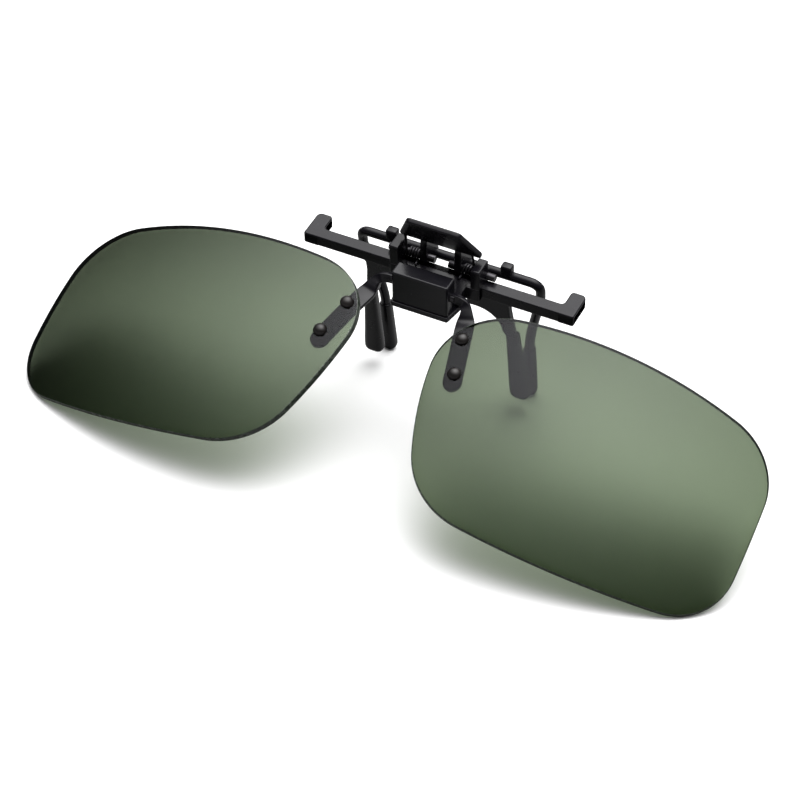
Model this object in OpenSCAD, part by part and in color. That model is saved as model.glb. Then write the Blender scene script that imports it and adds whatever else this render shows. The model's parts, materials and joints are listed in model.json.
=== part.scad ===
// Flip-up clip-on sunglasses: two rimless tinted lenses on a hinged bridge, and a
// spring clip whose front and rear legs grip the bridge of a pair of spectacles.
// Stood at rest as an easel: the lenses' lower outer corners in front, the rear
// legs' tips behind. X runs across the face, -Y is the front, +Z is up.

/* [Lenses] */
// Width of one lens, side to side along its outline
lens_w = 59.4; // [56:0.2:62]
// Height of one lens
lens_h = 40.4; // [38:0.2:43]
// Thickness of the lens sheet
lens_t = 1.0; // [0.8:0.1:1.2]
// Radius of the sphere that the front surface follows
lens_r = 94; // [90:1:100]
// Distance between the two lenses' optical centres
lens_pitch = 80.1; // [79:0.1:82]
// How far each lens swings back towards the temple
wrap = 14.8; // [13:0.1:16]

/* [Bridge] */
// Diameter of the hinge shaft
shaft_d = 1.4; // [1.2:0.1:1.5]
// Width of the bracket strip behind each lens
bracket_w = 3.2; // [2.8:0.1:3.4]
// Thickness of the bracket strip
bracket_t = 0.8; // [0.6:0.1:1.0]
// Diameter of the domed rivet heads
rivet_head_d = 2.4; // [2.2:0.1:2.8]
// Distance between the two rivets of one lens
rivet_pitch = 6.8; // [6.6:0.1:7.0]

/* [Hinge box] */
// Width of the box that holds the flip hinge
box_w = 10.4; // [10:0.1:10.8]
// Depth of the box, front to back
box_d = 3.1; // [3:0.1:3.3]
// Height of the box above its base plate
box_h = 6.4; // [6:0.1:6.8]

/* [Front jaw] */
// Overall width of the top bar with its two arms
bar_w = 50.6; // [46:0.2:54]
// Thickness of the top bar
bar_t = 2.1; // [1.9:0.1:2.2]
// Depth of the top bar
bar_d = 2.45; // [2.2:0.05:2.6]
// Length of the hooks that rest on the spectacle frame
hook_l = 5.9; // [5:0.1:7]
// Width of the hooks
hook_w = 2.8; // [2.4:0.1:3.2]
// Length of the front legs below the bar
front_leg_l = 25.5; // [24:0.5:26]
// How far the front legs lean back
front_leg_lean = 8.2; // [7:0.1:9]

/* [Rear jaw] */
// Diameter of the pivot pins
pin_d = 1.34; // [1.2:0.02:1.4]
// Diameter of the bent rear rod
rod_d = 1.7; // [1.5:0.1:1.8]
// Length of the thumb plate
plate_l = 7.2; // [6:0.1:8]
// Width of the thumb plate at its foot
plate_foot_w = 15; // [14:0.2:16]
// Width of the thumb plate at its free edge
plate_top_w = 9.8; // [8:0.2:12]
// How far the thumb plate leans forward
plate_lean = 27.9; // [24:0.1:30]

/* [Resting pose] */
// Tilt of the lenses from the table
lens_tilt = 34.0; // [33.9:0.1:34.1]
// Forward tilt of the clip
clip_tilt = 11.3; // [11.2:0.1:11.4]

/* [Hidden] */

// Corner arcs of a lens: [inset from its side, inset from its top or bottom, radius]
outer_top = [0.1, 2.5, 12.2];
inner_top = [-0.1, 0.8, 12.7];
inner_bottom = [2.5, 0.9, 14.2];
outer_bottom = [0.2, 1.3, 11];
// Radii of the long arcs that join the corners: top, inner side, bottom, outer side
edge_radii = [110, 61, 127, 330];
// Centre of the outline, seen from the optical centre
outline_mid = [-1.96, 7.32];
// Flat steps on each arc of the outline
arc_steps = 12;

// Gap between the lens and the bracket strip that follows it
strip_gap = 0.05;
// Middle of the two rivets, seen from the optical centre, and the strip's slant
rivet_mid = [-28.0, 16.0];
strip_slant = 11.5;
// Strip from the middle of the rivets: down to its round end, up past the lens's edge
strip_down = rivet_pitch / 2 + 1.1;
strip_up = rivet_pitch / 2 + 4.2;
rivet_d = 1.2;
rivet_play = 0.03;
rivet_head_h = 1.0;
rivet_dome_r = 1.3;
collar_d = 2.2;
collar_t = 0.4;
collar_gap = 0.01;
strip_r = lens_r - lens_t - strip_gap;
shell_depth = 14;

// Clip frame: X across, Y back, Z up along the clip. Hinge shaft and pivot pins in it
flip_axis = [-5.55, -2.7];
jaw_axis = [1.9, -2.75];
running_gap = 0.05;
// Lens frame: the hinge shaft seen from between the optical centres
hinge_in_lens = [0.8, 26.6];
// The hinge shaft above the table, and behind the middle of the depth
flip_height = 27.92;
flip_back = 6.27;

// Hinge box
box_front = flip_axis[0] - 1.6;
box_top = 0.33;
box_bottom = box_top - box_h;
box_wall = 0.6;
box_chamfer = 0.4;
cavity_w = 8.4;
base_t = 1.0;
base_lip = 0.35;
base_back = -2.5;
base_flare = 1.05;
// The arms begin where the hinge shaft ends, clear of the box
arm_x = box_w / 2 + 0.7;

// Front jaw
bar_top = -3.5;
bar_front = -0.65;
bar_bottom = bar_top - bar_t;
// The hooks stand a little below the bar, so that they alone rest on the spectacles
hook_drop = 0.1;
waist_back = 0.7;
tower_x = 6.7;
tower_w = 1.7;
tower_front = -1.5;
tower_back = 2.3;
tower_top = 0.5;
ear_r = 1.4;
block_w = 12;
web_t = 1.4;
// The front legs lean about this line
leg_pivot = [bar_front + web_t / 2, -4.9];
// Rounding of the hooks: front corner, free end's outer and inner corner, inside fillet
hook_rounds = [0.4, 0.9, 0.6, 0.7];
// Pads under the hooks: back from the edges and from the free end, and up into the bar
pad_edge = 0.3;
pad_tip = 0.9;
pad_root = 0.5;
// How far the block's side walls and the leg's top reach into their neighbours
side_root = 0.8;
leg_root = 0.5;

// Rear jaw
cheek_x = 2.6;
cheek_w = 1.2;
knuckle_r = 1.1;
plate_foot = [1.6, 1.5];
plate_t = 1.0;
plate_side = 0.8;
plate_corner = 0.4;
pin_reach = 9.9;
pin_inner = 1.3;
// Straight part of the rear rod: where it lies and how far it reaches
rod_at = [4.7, -3.9];
rod_half = 15.0;
rod_sides = 28;
// Middle line of the rod's right leg: out of the straight part, round the bend, to the tip
rod_path = [[14.7, 4.7, -3.9], [15.25, 4.7, -3.9], [15.95, 4.74, -4.05], [16.5, 4.85, -4.5],
            [16.8, 5.0, -5.1], [16.8, 5.2, -6.2], [16.6, 5.5, -8.5], [14.7, 7.0, -16.5],
            [14.2, 7.45, -19.4], [13.9, 7.7, -22], [13.8, 8.7, -32.8]];
lug_x = 9.8;
lug_w = 2.0;
lug_d = 1.6;
lug_top = -1.6;

// Torsion springs round the pivot pins, between the cheeks and the towers
spring_wire = 0.42;
spring_r = 0.93;
spring_turns = 4.25;
spring_pitch = 0.51;
spring_x = 4.1;
spring_steps = 12;
spring_sides = 8;

dark = "#26242a";
rubber_black = "#1b1a1d";
steel = "#55535a";
smoke = "#4d5c4acc";

// ---- small tools ----

function arc(c, r, a0, a1, n) =
    [for (i = [0 : n - 1]) c + r * [cos(a0 + (a1 - a0) * i / n), sin(a0 + (a1 - a0) * i / n)]];

// Centre of the arc of radius r that holds corner circles p and q, touching both inside
function edge_centre(p, q, r) =
    let (a = r - p[2], b = r - q[2], d = [q[0] - p[0], q[1] - p[1]], l = norm(d),
         t = (a * a - b * b + l * l) / (2 * l), h = sqrt(a * a - t * t))
    [p[0] + d[0] / l * t - d[1] / l * h, p[1] + d[1] / l * t + d[0] / l * h];

function heading(from, to) = atan2(to[1] - from[1], to[0] - from[0]);
function after(a, b) = b < a ? b + 360 : b;

// Corner circles, anticlockwise from the outer top, in the outline's own frame
function corners() = [
    [lens_w / 2 - outer_top[0] - outer_top[2], lens_h / 2 - outer_top[1] - outer_top[2], outer_top[2]],
    [-lens_w / 2 + inner_top[0] + inner_top[2], lens_h / 2 - inner_top[1] - inner_top[2], inner_top[2]],
    [-lens_w / 2 + inner_bottom[0] + inner_bottom[2],
     -lens_h / 2 + inner_bottom[1] + inner_bottom[2], inner_bottom[2]],
    [lens_w / 2 - outer_bottom[0] - outer_bottom[2],
     -lens_h / 2 + outer_bottom[1] + outer_bottom[2], outer_bottom[2]]];

// Corner arcs and the long arcs between them, smooth where they meet
function lens_outline() =
    let (c = corners(), o = [for (i = [0 : 3]) edge_centre(c[i], c[(i + 1) % 4], edge_radii[i])])
    [for (i = [0 : 3])
        let (j = (i + 1) % 4, k = (i + 3) % 4,
             a0 = heading(o[k], c[i]), a1 = after(a0, heading(o[i], c[i])),
             b1 = after(a1, heading(o[i], c[j])))
        each concat(arc([c[i][0], c[i][1]], c[i][2], a0, a1, arc_steps),
                    arc(o[i], edge_radii[i], a1, b1, arc_steps))];

// A closed tube through rings of points, all rings with the same number of points
module skin(rings) {
    n = len(rings[0]);
    m = len(rings);
    polyhedron(
        points = [for (r = rings) each r],
        faces = concat(
            [[for (i = [0 : n - 1]) i]],
            [for (j = [0 : m - 2], i = [0 : n - 1])
                [j * n + i, (j + 1) * n + i, (j + 1) * n + (i + 1) % n, j * n + (i + 1) % n]],
            [[for (i = [n - 1 : -1 : 0]) (m - 1) * n + i]]));
}

module x_cylinder(x0, x1, r, at = [0, 0]) {
    translate([x0, at[0], at[1]]) rotate([0, 90, 0]) cylinder(h = x1 - x0, r = r, $fn = 48);
}

module box(low, high) {
    translate(low) cube(high - low);
}

module left() {
    mirror([1, 0, 0]) children();
}

module both_sides() {
    children();
    mirror([1, 0, 0]) children();
}

// Places the clip as it stands, from the frame of the clip
module clip_frame() {
    translate([0, flip_back, flip_height]) rotate([clip_tilt, 0, 0])
        translate([0, -flip_axis[0], -flip_axis[1]]) children();
}

// Places the lens unit as it lies, from its own upright frame
module lens_frame() {
    translate([0, flip_back, flip_height]) rotate([lens_tilt - 90, 0, 0])
        translate([0, -hinge_in_lens[0], -hinge_in_lens[1]]) children();
}

// Right lens's own frame: its front surface touches the origin, the wrap taken out
module right_lens_frame() {
    lens_frame() translate([lens_pitch / 2, 0, 0]) rotate([0, 0, wrap]) children();
}

// A point on the lens's front surface, with +Y into the lens along its normal
module on_lens(p) {
    rise = -asin(p[1] / lens_r);
    turn = asin(p[0] / (lens_r * cos(rise)));
    translate([0, lens_r, 0]) rotate([0, 0, turn]) rotate([rise, 0, 0])
        translate([0, -lens_r, 0]) children();
}

module each_rivet() {
    for (s = [-1, 1])
        on_lens(rivet_mid + s * rivet_pitch / 2 * [-sin(strip_slant), cos(strip_slant)])
            children();
}

module y_cylinder(y0, y1, r) {
    translate([0, y0, 0]) rotate([-90, 0, 0]) cylinder(h = y1 - y0, r = r, $fn = 40);
}

// A shell between two spheres that share the lens's centre
module shell(r_out, r_in) {
    translate([0, lens_r, 0]) difference() {
        sphere(r = r_out, $fn = 200);
        sphere(r = r_in, $fn = 200);
    }
}

// ---- lens unit ----

module lens() {
    difference() {
        intersection() {
            translate([outline_mid[0], 20, outline_mid[1]]) rotate([90, 0, 0])
                linear_extrude(height = 22) polygon(lens_outline());
            shell(lens_r, lens_r - lens_t);
        }
        each_rivet() y_cylinder(-2, 4, rivet_d / 2 + rivet_play);
    }
}

module bracket_strip() {
    difference() {
        intersection() {
            translate([rivet_mid[0], 0, rivet_mid[1]]) rotate([0, -strip_slant, 0]) union() {
                box([-bracket_w / 2, 0, -strip_down], [bracket_w / 2, shell_depth, strip_up]);
                translate([0, 0, -strip_down]) y_cylinder(0, shell_depth, bracket_w / 2);
            }
            shell(strip_r, strip_r - bracket_t);
        }
        each_rivet() y_cylinder(-2, 4, rivet_d / 2 + rivet_play);
    }
}

// Middle of the strip's thickness, v above the middle of the rivets, in the lens frame
function strip_point(v) =
    let (p = rivet_mid + v * [-sin(strip_slant), cos(strip_slant)],
         r = strip_r - bracket_t / 2, sag = lens_r - sqrt(r * r - p * p))
    [lens_pitch / 2 + p[0] * cos(wrap) - sag * sin(wrap), p[0] * sin(wrap) + sag * cos(wrap), p[1]];

// One ring of the bent arm: centre, heading in the X-Z plane, width and thickness
function arm_ring(c, turn, w, t) =
    [for (a = [330 : -30 : 0])
        let (k = 1 / pow(pow(abs(cos(a)), 4) + pow(abs(sin(a)), 4), 0.25),
             n = w / 2 * k * cos(a))
        c + [n * sin(turn), t / 2 * k * sin(a), n * cos(turn)]];

// Stations of the arm, from the end of the shaft to the bracket strip:
// [centre in the lens frame, heading below +X, width, thickness]
arm_stations = [
    [[arm_x, 0.8, 26.6], 0, 1.5, 1.2],
    [[6.9, 0.8, 26.5], 10, 1.55, 1.15],
    [[7.8, 0.9, 26.15], 32, 1.6, 1.05],
    [[8.4, 1.1, 25.45], 58, 1.8, 0.95],
    [[8.75, 1.35, 24.5], 74, 2.2, 0.85],
    [strip_point(strip_up), 79, 2.9, 0.7],
    [strip_point(strip_up - 1.2), 79, 2.7, 0.5]];

module bridge_arm() {
    color(dark) union() {
        lens_frame() skin([for (s = arm_stations) arm_ring(s[0], s[1], s[2], s[3])]);
        right_lens_frame() bracket_strip();
    }
}

module bridge_shaft() {
    color(steel) clip_frame() difference() {
        x_cylinder(-arm_x, arm_x, shaft_d / 2, flip_axis);
        // Flats that the detent spring snaps on to
        for (s = [-1, 1])
            translate([0, flip_axis[0], flip_axis[1]]) rotate([lens_tilt - 90 - clip_tilt, 0, 0])
                translate([-2, -1, s > 0 ? 0.5 : -1.5]) cube([4, 2, 1]);
    }
}

module rivet() {
    intersection() {
        translate([0, rivet_dome_r - rivet_head_h, 0]) sphere(r = rivet_dome_r, $fn = 48);
        y_cylinder(-rivet_head_h, 0, rivet_head_d / 2);
    }
    y_cylinder(0, lens_t + strip_gap + bracket_t + collar_gap + collar_t, rivet_d / 2);
}

module rivets() {
    color("#3a302c") both_sides() right_lens_frame() each_rivet() rivet();
}

module rivet_collars() {
    back = lens_t + strip_gap + bracket_t + collar_gap;
    color(steel) both_sides() right_lens_frame() each_rivet() difference() {
        y_cylinder(back, back + collar_t, collar_d / 2);
        y_cylinder(back - 1, back + collar_t + 1, rivet_d / 2);
    }
}

// ---- clip: front jaw and hinge box ----

// Half outline of the web and the leg below it, X outward and Y up
function leg_outline() = concat(
    [[block_w / 2 - leg_root, bar_bottom + leg_root], [block_w / 2 - leg_root, -8.4]],
    [for (p = arc([7.2, -13.0], 4.6, 90, 0, 8)) p],
    [[11.8, -13.0], [12.9, -14.5]],
    [for (p = arc([14.1, -front_leg_l - 3], 1.1, 180, 360, 8)) p],
    [[15.2, -front_leg_l - 3], [14.3, -14.5], [14.0, -13.0], [13.5, -8.0]],
    [for (p = arc([14.5, bar_bottom - 0.7], 1.0, 180, 90, 5)) p],
    [[14.5, bar_bottom + 0.3], [14.5, bar_bottom + leg_root]]);

module leg_plate() {
    translate([0, leg_pivot[0], leg_pivot[1]]) rotate([front_leg_lean, 0, 0])
        translate([0, web_t / 2, -leg_pivot[1]]) rotate([90, 0, 0])
            linear_extrude(height = web_t) polygon(leg_outline());
}

// The right half of the bar with its hook in plan, anticlockwise from the tower
function bar_outline() =
    let (x0 = bar_w / 2 - hook_w, x1 = bar_w / 2, y0 = bar_front, y1 = bar_front + hook_l,
         y = bar_front + bar_d, f = hook_rounds[0], o = hook_rounds[1], i = hook_rounds[2],
         n = hook_rounds[3])
    concat([[tower_x, y0]],
           arc([x1 - f, y0 + f], f, 270, 360, 4), [[x1, y0 + f]],
           arc([x1 - o, y1 - o], o, 0, 90, 5), [[x1 - o, y1]],
           arc([x0 + i, y1 - i], i, 90, 180, 5), [[x0, y1 - i]],
           arc([x0 - n, y + n], n, 360, 270, 5), [[x0 - n, y], [tower_x, y]]);

module front_jaw() {
    color(dark) clip_frame() difference() {
        union() {
            // Waist between the towers, narrower to clear the springs
            box([-tower_x, bar_front, bar_bottom], [tower_x, waist_back, bar_top]);
            // Block behind the hinge box
            box([-block_w / 2, box_front + box_d, box_bottom], [block_w / 2, bar_front, bar_top]);
            both_sides() {
                translate([0, 0, bar_bottom]) linear_extrude(height = bar_t) polygon(bar_outline());
                box([bar_w / 2 - hook_w + pad_edge, bar_front + pad_edge, bar_bottom - hook_drop],
                    [bar_w / 2 - pad_edge, bar_front + hook_l - pad_tip, bar_bottom + pad_root]);
                box([tower_x, tower_front, box_bottom], [tower_x + tower_w, bar_front + 0.5, bar_top]);
                box([tower_x, tower_front, bar_top], [tower_x + tower_w, tower_back, tower_top]);
                box([block_w / 2 - side_root, tower_front, box_bottom],
                    [tower_x + tower_w, bar_front + 0.5, bar_top]);
                x_cylinder(tower_x, tower_x + tower_w, ear_r, jaw_axis);
                leg_plate();
            }
        }
        both_sides()
            x_cylinder(tower_x - 1, tower_x + tower_w + 1, pin_d / 2 + running_gap, jaw_axis);
    }
}

module hinge_box() {
    back = box_front + box_d;
    color(dark) clip_frame() difference() {
        translate([0, 0, box_bottom]) linear_extrude(height = box_h) polygon([
            [-box_w / 2 + box_chamfer, box_front], [box_w / 2 - box_chamfer, box_front],
            [box_w / 2, box_front + 2 * box_chamfer], [box_w / 2, back],
            [-box_w / 2, back], [-box_w / 2, box_front + 2 * box_chamfer]]);
        box([-cavity_w / 2, box_front + box_wall, box_bottom - 1],
            [cavity_w / 2, back - box_wall, box_top - box_wall]);
        x_cylinder(-box_w, box_w, shaft_d / 2 + running_gap, flip_axis);
    }
}

module box_base() {
    front = box_front - base_lip;
    color(dark) clip_frame() translate([0, 0, box_bottom - base_t]) union() {
        linear_extrude(height = base_t) polygon([
            [-box_w / 2 - 0.1, front], [box_w / 2 + 0.1, front],
            [box_w / 2 + base_flare, base_back], [-box_w / 2 - base_flare, base_back]]);
        // Locating rib that plugs the box's open underside
        box([-cavity_w / 2 + 0.1, box_front + box_wall + 0.1, base_t],
            [cavity_w / 2 - 0.1, box_front + box_d - box_wall - 0.1, base_t + 0.5]);
    }
}

// Bowed leaf that presses on the shaft's flats
module detent_spring() {
    leaf_t = 0.15;
    leaf_w = 1.5;
    crown = flip_axis[1] - shaft_d / 2 - running_gap;
    foot = box_bottom + 0.5;
    half = 3.6;
    rise = crown - foot;
    r = (half * half + rise * rise) / (2 * rise);
    sweep = asin(half / r);
    y_mid = box_front + box_d / 2;
    color(steel) clip_frame() translate([0, y_mid + leaf_w / 2, crown - r]) rotate([90, 0, 0])
        linear_extrude(height = leaf_w) polygon(concat(
            arc([0, 0], r, 90 + sweep, 90 - sweep, 24),
            [[r * sin(sweep), r * cos(sweep)]],
            arc([0, 0], r - leaf_t, 90 - sweep * 0.98, 90 + sweep * 0.98, 24),
            [[-(r - leaf_t) * sin(sweep * 0.98), (r - leaf_t) * cos(sweep * 0.98)]]));
}

module front_sleeve() {
    color(rubber_black) clip_frame() difference() {
        translate([0, leg_pivot[0], leg_pivot[1]]) rotate([front_leg_lean, 0, 0])
            translate([0, 0, -leg_pivot[1]]) hull() {
                translate([13.35, 0, -14.6]) sphere(r = 0.95, $fn = 24);
                translate([13.85, 0, -14.6]) sphere(r = 0.95, $fn = 24);
                translate([13.5, 0, -front_leg_l - 4.0]) sphere(r = 1.2, $fn = 28);
                translate([14.8, 0, -front_leg_l - 4.0]) sphere(r = 1.2, $fn = 28);
            }
        leg_plate();
    }
}

// ---- rear jaw ----

module pivot_pin() {
    color(steel) clip_frame() x_cylinder(pin_inner, pin_reach, pin_d / 2, jaw_axis);
}

module cheek() {
    translate([cheek_x + cheek_w, 0, 0]) rotate([90, 0, -90])
        linear_extrude(height = cheek_w) mirror([1, 0]) {
            translate(jaw_axis) circle(r = knuckle_r, $fn = 40);
            translate(rod_at) circle(r = rod_d / 2 + 0.5, $fn = 40);
            polygon([jaw_axis + [-knuckle_r, 0], jaw_axis + [0, -knuckle_r],
                     rod_at + [0, -rod_d / 2 - 0.5], rod_at + [rod_d / 2 + 0.5, 0],
                     plate_foot + [1.0, 0.3], plate_foot + [-0.45, 0.3]]);
        }
}

module thumb_lever() {
    color(dark) clip_frame() difference() {
        union() {
            translate([0, plate_foot[0], plate_foot[1]]) rotate([90 + plate_lean, 0, 0])
                translate([0, 0, -plate_t / 2]) linear_extrude(height = plate_t) polygon([
                    [-plate_foot_w / 2, 0], [plate_foot_w / 2, 0], [plate_foot_w / 2, plate_side],
                    [plate_top_w / 2 + plate_corner, plate_l - plate_corner],
                    [plate_top_w / 2 - plate_corner, plate_l], [plate_corner - plate_top_w / 2, plate_l],
                    [-plate_top_w / 2 - plate_corner, plate_l - plate_corner],
                    [-plate_foot_w / 2, plate_side]]);
            both_sides() cheek();
        }
        both_sides() {
            x_cylinder(cheek_x - 1, cheek_x + cheek_w + 1, pin_d / 2, jaw_axis);
            x_cylinder(cheek_x - 1, cheek_x + cheek_w + 1, rod_d / 2, rod_at);
        }
    }
}

// A ring square to the run of the rod, in the plane of the bend
function rod_ring(a, b, c, r) =
    let (t = (c - b) / norm(c - b) + (b - a) / norm(b - a), run = t / norm(t),
         n1 = cross(run, [0, 1, 0]) / norm(cross(run, [0, 1, 0])), n2 = cross(run, n1))
    [for (k = [0 : rod_sides - 1])
        b + r * (cos(360 * k / rod_sides) * n1 + sin(360 * k / rod_sides) * n2)];

// Leg of the rear rod, from inside the straight part to its tip
module rod_leg() {
    n = len(rod_path);
    skin([for (i = [0 : n - 1])
        rod_ring(rod_path[i] - (i == 0 ? [1, 0, 0] : rod_path[i] - rod_path[i - 1]), rod_path[i],
                 i == n - 1 ? 2 * rod_path[i] - rod_path[i - 1] : rod_path[i + 1],
                 i == 0 ? 0.48 * rod_d : rod_d / 2)]);
}

module rear_rod() {
    color(dark) clip_frame() union() {
        x_cylinder(-rod_half, rod_half, rod_d / 2, rod_at);
        both_sides() {
            rod_leg();
            box([lug_x, rod_at[0] - lug_d / 2, rod_at[1]],
                [lug_x + lug_w, rod_at[0] + lug_d / 2, lug_top]);
        }
    }
}

module rear_sleeve() {
    n = len(rod_path);
    tip = rod_path[n - 1];
    top = rod_path[n - 2];
    run = (tip - top) / norm(tip - top);
    color(rubber_black) clip_frame() difference() {
        hull() {
            translate(top + 0.6 * run) sphere(r = 1.1, $fn = 24);
            translate(tip + [-0.15, 0, 0]) sphere(r = 1.2, $fn = 28);
            translate(tip + [0.15, 0, 0]) sphere(r = 1.2, $fn = 28);
        }
        rod_leg();
    }
}

// Middle line of a torsion spring: a leg on the waist, the coil, a leg up the thumb plate
function spring_line() =
    let (n = floor(spring_turns * spring_steps), clear = spring_wire / 2 + 0.05,
         end_x = spring_x + spring_turns * spring_pitch,
         face = plate_foot + plate_t / 2 * [-cos(plate_lean), -sin(plate_lean)],
         off = clear * [-cos(plate_lean), -sin(plate_lean)],
         up = [-sin(plate_lean), cos(plate_lean)])
    concat(
        [for (y = [-0.3, 0.3, 0.9]) [spring_x, y, bar_top + clear]],
        [for (i = [0 : n])
            let (a = -100 - 360 * i / spring_steps)
            [spring_x + spring_pitch * i / spring_steps,
             jaw_axis[0] + spring_r * cos(a), jaw_axis[1] + spring_r * sin(a)]],
        [for (s = [0, 1.8]) let (p = face + off + s * up) [end_x, p[0], p[1]]]);

// Rings of a round wire about a path that stays nearly square to the X axis
function wire_rings(path, r, sides) =
    [for (i = [0 : len(path) - 1])
        let (a = path[max(i - 1, 0)], b = path[min(i + 1, len(path) - 1)],
             t = (b - a) / norm(b - a), across = cross(t, [1, 0, 0]),
             n1 = across / norm(across), n2 = cross(t, n1))
        [for (k = [0 : sides - 1])
            path[i] + r * (cos(360 * k / sides) * n1 + sin(360 * k / sides) * n2)]];

module torsion_spring() {
    color(steel) clip_frame() skin(wire_rings(spring_line(), spring_wire / 2, spring_sides));
}

front_jaw();
hinge_box();
box_base();
detent_spring();
left() pivot_pin();  // pivot_pin_left
pivot_pin();  // pivot_pin_right
left() front_sleeve();  // front_sleeve_left
front_sleeve();  // front_sleeve_right
thumb_lever();
rear_rod();
left() torsion_spring();  // spring_left
torsion_spring();  // spring_right
left() rear_sleeve();  // rear_sleeve_left
rear_sleeve();  // rear_sleeve_right
bridge_shaft();
left() bridge_arm();  // bridge_arm_left
bridge_arm();  // bridge_arm_right
color(smoke) left() right_lens_frame() lens();  // lens_left
color(smoke) right_lens_frame() lens();  // lens_right
rivets();
rivet_collars();
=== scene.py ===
# Flip-up clip-on sunglasses: smooth lenses, formed arms, bent rod, sleeves and rivets
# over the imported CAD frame, with procedural materials. Metres, +Z up, -Y the front.
import json
import math

import bmesh
import bpy
from mathutils import Matrix, Vector


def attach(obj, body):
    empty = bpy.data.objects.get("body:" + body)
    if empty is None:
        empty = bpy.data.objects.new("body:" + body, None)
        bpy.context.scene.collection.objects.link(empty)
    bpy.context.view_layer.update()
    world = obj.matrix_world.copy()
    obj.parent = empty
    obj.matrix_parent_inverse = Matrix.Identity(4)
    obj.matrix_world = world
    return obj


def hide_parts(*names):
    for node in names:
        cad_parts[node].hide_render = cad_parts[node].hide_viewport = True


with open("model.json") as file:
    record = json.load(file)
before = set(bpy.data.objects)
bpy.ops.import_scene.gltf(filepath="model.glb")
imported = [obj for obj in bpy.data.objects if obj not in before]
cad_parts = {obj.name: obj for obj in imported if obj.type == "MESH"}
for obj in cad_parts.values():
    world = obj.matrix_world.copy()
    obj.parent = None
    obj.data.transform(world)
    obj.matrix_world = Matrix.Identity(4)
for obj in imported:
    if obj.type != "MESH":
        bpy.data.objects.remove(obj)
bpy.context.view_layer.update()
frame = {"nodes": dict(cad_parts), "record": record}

MM = 0.001
SIDES = (("left", -1), ("right", 1))

# ---------------------------------------------------------------- dimensions (mm)

LENS_W, LENS_H, LENS_T = 59.4, 40.4, 1.0
LENS_R = 94.0
# Rounding of the rim, and the rings from the rim to the middle
RIM_R, DISC_RINGS = 0.14, 18
LENS_PITCH = 80.1
WRAP = math.radians(14.8)
# Corner circles of the outline: in from the side, in from the top or bottom, radius
OUTER_TOP = (0.1, 2.5, 12.2)
INNER_TOP = (-0.1, 0.8, 12.7)
INNER_BOTTOM = (2.5, 0.9, 14.2)
OUTER_BOTTOM = (0.2, 1.3, 11.0)
# Radii of the edges between the corners, and where the outline's middle lies
EDGE_RADII = (110.0, 61.0, 127.0, 330.0)
OUTLINE_MID = (-1.96, 7.32)
LENS_TILT = math.radians(34.0)
CLIP_TILT = math.radians(11.3)
# Hinge axes, (y, z): the flip axis among the lenses and in the clip, and the jaw's
HINGE_IN_LENS = (0.8, 26.6)
FLIP_AXIS = (-5.55, -2.7)
JAW_AXIS = (1.9, -2.75)

BRACKET_W, BRACKET_T = 3.2, 0.8
STRIP_GAP = 0.05
STRIP_R = LENS_R - LENS_T - STRIP_GAP
RIVET_PITCH = 6.8
RIVET_MID = (-28.0, 16.0)
STRIP_SLANT = math.radians(11.5)
STRIP_DOWN = RIVET_PITCH / 2 + 1.1
STRIP_UP = RIVET_PITCH / 2 + 4.2
RIVET_D, RIVET_HEAD_H = 1.2, 1.0
COLLAR_T, COLLAR_GAP = 0.4, 0.01
ARM_X = 5.9

joints = {j["name"]: j for j in frame["record"]["behaviour"]["joints"]}
FLIP_POINT = Vector(joints["lens_flip"]["pos_m"]) / MM


def shift(x, y, z):
    return Matrix.Translation((x, y, z))


CLIP = (shift(*FLIP_POINT) @ Matrix.Rotation(CLIP_TILT, 4, "X")
        @ shift(0, -FLIP_AXIS[0], -FLIP_AXIS[1]))
LENS_UNIT = (shift(*FLIP_POINT) @ Matrix.Rotation(LENS_TILT - math.pi / 2, 4, "X")
             @ shift(0, -HINGE_IN_LENS[0], -HINGE_IN_LENS[1]))
LENS = LENS_UNIT @ shift(LENS_PITCH / 2, 0, 0) @ Matrix.Rotation(WRAP, 4, "Z")


# ---------------------------------------------------------------- mesh tools

def make_object(name, verts, faces, place, side=1, smooth=True):
    """Builds a mesh from points in mm in the frame place; side -1 mirrors it across X."""
    mesh = bpy.data.meshes.new(name)
    pts = [place @ Vector(v) for v in verts]
    mesh.from_pydata([(p.x * side * MM, p.y * MM, p.z * MM) for p in pts], [], faces)
    bm = bmesh.new()
    bm.from_mesh(mesh)
    bmesh.ops.recalc_face_normals(bm, faces=bm.faces)
    bm.to_mesh(mesh)
    bm.free()
    for p in mesh.polygons:
        p.use_smooth = smooth
    obj = bpy.data.objects.new(name, mesh)
    bpy.context.scene.collection.objects.link(obj)
    return obj


def ring_faces(rings, size, close_start=True, close_end=True):
    """Faces of a tube through rings that hold size points each."""
    faces = []
    for j in range(rings - 1):
        for i in range(size):
            k = (i + 1) % size
            faces.append((j * size + i, j * size + k, (j + 1) * size + k, (j + 1) * size + i))
    if close_start:
        faces.append(tuple(range(size - 1, -1, -1)))
    if close_end:
        faces.append(tuple((rings - 1) * size + i for i in range(size)))
    return faces


def loft(name, sections, place, side=1):
    size = len(sections[0])
    verts = [p for s in sections for p in s]
    return make_object(name, verts, ring_faces(len(sections), size), place, side)


def rounded_rect(w, h, r, per_corner=5):
    """Outline of a w by h rectangle with round corners, as 2D points."""
    r = min(r, w / 2 - 1e-4, h / 2 - 1e-4)
    pts = []
    for k, (sx, sy) in enumerate(((1, 1), (-1, 1), (-1, -1), (1, -1))):
        for i in range(per_corner):
            a = math.pi / 2 * (k + i / (per_corner - 1))
            pts.append((sx * (w / 2 - r) + r * math.cos(a), sy * (h / 2 - r) + r * math.sin(a)))
    return pts


def section(centre, u, v, w, h, r, per_corner=5):
    c = Vector(centre)
    return [c + u * a + v * b for a, b in rounded_rect(w, h, r, per_corner)]


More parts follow.
